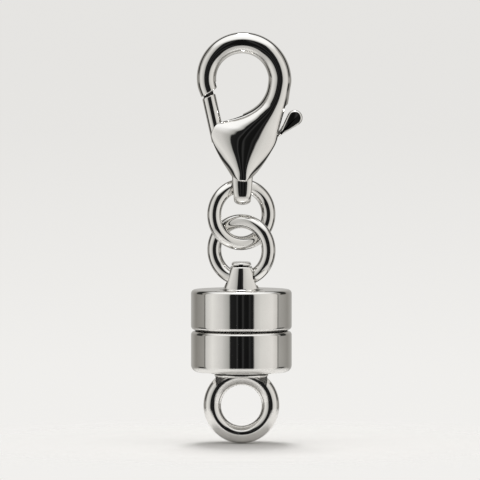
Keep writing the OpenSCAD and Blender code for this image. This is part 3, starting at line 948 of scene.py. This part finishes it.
for piece in (hook, tail):
    cut(piece, cross_hole(HOLE_R, HOLE_SHIFT, HOLE_Z))
pin_r = (pin_hi.x - pin_lo.x) / 2
pin_hole_y = pin_lo.y - PIN_PLAY + PIN_HOLE_L / 2
cut(hook, round_bar(pin_r + PIN_PLAY, PIN_HOLE_L, (pivot.x, pin_hole_y, pivot.y),
                    (math.pi / 2, 0, 0)))

for piece in (hook, tail):
    clean(piece, 35)
join(hook, tail)
finish_piece(hook, "hook", "clasp", "hook_body")

# %% [markdown]
# ## Gate
# The gate is a lever: a round finger that closes the hook, a flat hub in the
# slot, and a thumb tab behind, shaped like a drop. The finger is a bar cut at a
# slant with its rim rounded off. Hub, arm and tab are plates cut round two
# circles each, and the tongue is a small plate. They overlap inside, so they are
# joined as they are.

# %% Shape the gate
FINGER_D, FINGER_END_A = 1.12, math.radians(22)
FINGER_L, FINGER_SPARE, FINGER_ROUND = 0.39 * BODY_L, 1, 0.13
FINGER_PLATE_R, ARM_R = 0.42 * FINGER_D, 0.8 * HUB_R
TIP_GAP, GATE_PLAY = 0.25, 0.07
TAB_W, TAB_R, TAB_REACH, TAB_A = 1.5, 0.62, 4.6, math.radians(26.2)
KNEE_SHARE, KNEE_TURN, KNEE_RISE, KNEE_R = 0.64, 0.45, 0.12, 0.14
ARM_END_R, NOSE_R, NOSE_SHIFT = 0.8 * TAB_R, 0.16 * TAB_R, Vector((0.12, 0.02))
HUB_EDGE, ARM_EDGE, TAB_EDGE, TONGUE_EDGE, TONGUE_ROOT = 0.06, 0.1, 0.2, 0.04, 0.2


def bar_outline(a, ra, b, rb, steps=16):
    """Gives the outline of a bar between two round ends."""
    d = b - a
    along = math.degrees(math.atan2(d.y, d.x))
    splay = math.degrees(math.acos((ra - rb) / d.length))
    return (arc(a, ra, along + splay, along + 360 - splay, steps)
            + arc(b, rb, along - splay, along + splay, steps))


def heading_of(angle):
    """Gives the direction of an angle in the X and Z plane."""
    return Vector((math.cos(angle), math.sin(angle)))


finger_top = tip_mid + TIP_GAP * finger_dir
finger_root = finger_top + FINGER_L * finger_dir
finger_mid = (finger_top + finger_root) / 2

finger = round_bar(FINGER_D / 2, FINGER_L + FINGER_SPARE, (finger_mid.x, 0, finger_mid.y),
                   (0, -FINGER_LEAN, 0), sides=56)
begin_edit(finger)
cut_no = Vector((-math.sin(FINGER_END_A), 0, math.cos(FINGER_END_A)))
cut_co = mm(finger_top.x, 0, finger_top.y)
bpy.ops.mesh.bisect(plane_co=cut_co, plane_no=cut_no, clear_outer=True, use_fill=True)
pick(finger, lambda e: all(abs((v.co - cut_co).dot(cut_no)) < SAME for v in e.verts))
bpy.ops.mesh.bevel(offset=FINGER_ROUND * MM, segments=6, affect="EDGES")
clean(finger, 40)

tab_end = pivot + TAB_REACH * heading_of(TAB_A)
tab_knee = (pivot + KNEE_SHARE * TAB_REACH * heading_of(KNEE_TURN * TAB_A)
            + Vector((0, KNEE_RISE)))
tab_nose = tab_knee + TAB_R * NOSE_SHIFT
plate_w = SLOT_W - 2 * GATE_PLAY
tongue = [finger_top + finger_side * (w * TONGUE_W / 2) + finger_dir * d
          for w, d in ((-1, -TONGUE_H), (1, -TONGUE_H), (1, TONGUE_ROOT), (-1, TONGUE_ROOT))]
parts = [
    plate(bar_outline(pivot, HUB_R, finger_root, FINGER_PLATE_R), plate_w, HUB_EDGE),
    plate(bar_outline(pivot, ARM_R, tab_knee, KNEE_R), plate_w, ARM_EDGE),
    plate(bar_outline(tab_knee, KNEE_R, tab_end, ARM_END_R), plate_w, ARM_EDGE),
    plate(bar_outline(tab_nose, NOSE_R, tab_end, TAB_R, 24), TAB_W, TAB_EDGE, 6),
    plate(tongue, TONGUE_T, TONGUE_EDGE)]
join(finger, *parts)
finish_piece(finger, "gate_lever", "gate_lever", "gate")

# %% [markdown]
# The gate turns on a plain round pin through the body, a bar with both rims
# bevelled. It fills its hole, so only its two ends can be seen.

# %% Turn the pin
PIN_EDGE = 0.08

pin = round_bar(pin_r, pin_hi.y - pin_lo.y, (pivot.x, (pin_hi.y + pin_lo.y) / 2, pivot.y),
                (math.pi / 2, 0, 0))
begin_edit(pin)
pick(pin, lambda e: abs(e.verts[0].co.y - e.verts[1].co.y) < SAME)
bpy.ops.mesh.bevel(offset=PIN_EDGE * MM, segments=4, affect="EDGES")
clean(pin, 30)
finish_piece(pin, "hinge_pin", "clasp", "gate_pin")

# %% [markdown]
# ## Bail
# The bail on the upper half flares from its top to its foot, and its front has
# a soft ridge. A groove runs round it below a low cap, deep at front and back,
# and shows as a dark line. The lower ring runs through it from side to side. It
# is skinned from the foot up, and the hole is cut with a drawn-out bar.

# %% Shape the bail
BAIL_TOP_W, BAIL_FOOT_W, BAIL_TOP_T, BAIL_FOOT_T = 1.64, 2.76, 2.8, 3.5
BAIL_SUNK, FLARE_END, CAP_ROUND, CAP_H, CAP_IN = 0.1, 0.26, 0.21, 0.22, 0.03
SHOULDER_ROUND, GROOVE_H, GROOVE_D, GROOVE_SHARP = 0.14, 0.11, 0.42, 0.03
BAIL_TOP_ROOF, BAIL_FOOT_ROOF, BAIL_ROOF_FALL, BAIL_SHARP = 0.158, 0.278, 1.4, 0.2
BAIL_RIDGE, BAIL_STEPS = -0.12, 8
BAIL_HOLE_R, BAIL_HOLE_SHIFT, BAIL_EYE_Z = 1.010, 0.184, -18.107

bail_top_z = cup_hi.z
bail_foot_z = top_z + FOOT_H
groove_top_z = bail_top_z - CAP_H
shoulder_z = groove_top_z - GROOVE_H - SHOULDER_ROUND
# A row is a height, what the sides draw in, what the front draws in, and whether
# the front is flat.
bail_rows = [(bail_foot_z - BAIL_SUNK, 0, 0, False)]
for i in range(BAIL_STEPS):
    bail_rows.append((bail_foot_z + (shoulder_z - bail_foot_z) * i / BAIL_STEPS, 0, 0, False))
for y, z in arc((0, shoulder_z), SHOULDER_ROUND, 0, 90, 5):
    bail_rows.append((z, SHOULDER_ROUND - y, SHOULDER_ROUND - y, False))
bail_rows += [(groove_top_z - GROOVE_H, SHOULDER_ROUND, GROOVE_D, True),
              (groove_top_z, SHOULDER_ROUND, GROOVE_D, True), (groove_top_z, CAP_IN, CAP_IN, False)]
for y, z in arc((0, bail_top_z - CAP_ROUND), CAP_ROUND, 0, 90, 8):
    bail_rows.append((z, CAP_IN + CAP_ROUND - y, CAP_IN + CAP_ROUND - y, False))


def bail_section(z, sides_in, front_in, flat, steps=96):
    """Gives one level section of the bail."""
    share = min(max((z - bail_foot_z) / (bail_top_z - FLARE_END - bail_foot_z), 0), 1)
    half_w = (BAIL_FOOT_W + (BAIL_TOP_W - BAIL_FOOT_W) * share) / 2 - sides_in
    half_t = (BAIL_FOOT_T + (BAIL_TOP_T - BAIL_FOOT_T) * share) / 2 - front_in
    roof = 0 if flat else BAIL_FOOT_ROOF + (BAIL_TOP_ROOF - BAIL_FOOT_ROOF) * share
    points = []
    for j in range(steps):
        u, v = math.cos(2 * math.pi * j / steps), math.sin(2 * math.pi * j / steps)
        fall = (abs(u - BAIL_RIDGE) / (1 + abs(BAIL_RIDGE))) ** BAIL_ROOF_FALL
        v = power(v, GROOVE_SHARP if flat else BAIL_SHARP) * (1 - roof * fall)
        points.append(mm(half_w * u, half_t * v, z))
    return points


bail = skinned([bail_section(*row) for row in bail_rows])
cut(bail, cross_hole(BAIL_HOLE_R, BAIL_HOLE_SHIFT, BAIL_EYE_Z))
clean(bail, 35)
finish_piece(bail, "bail", "upper_half", "upper_cup")
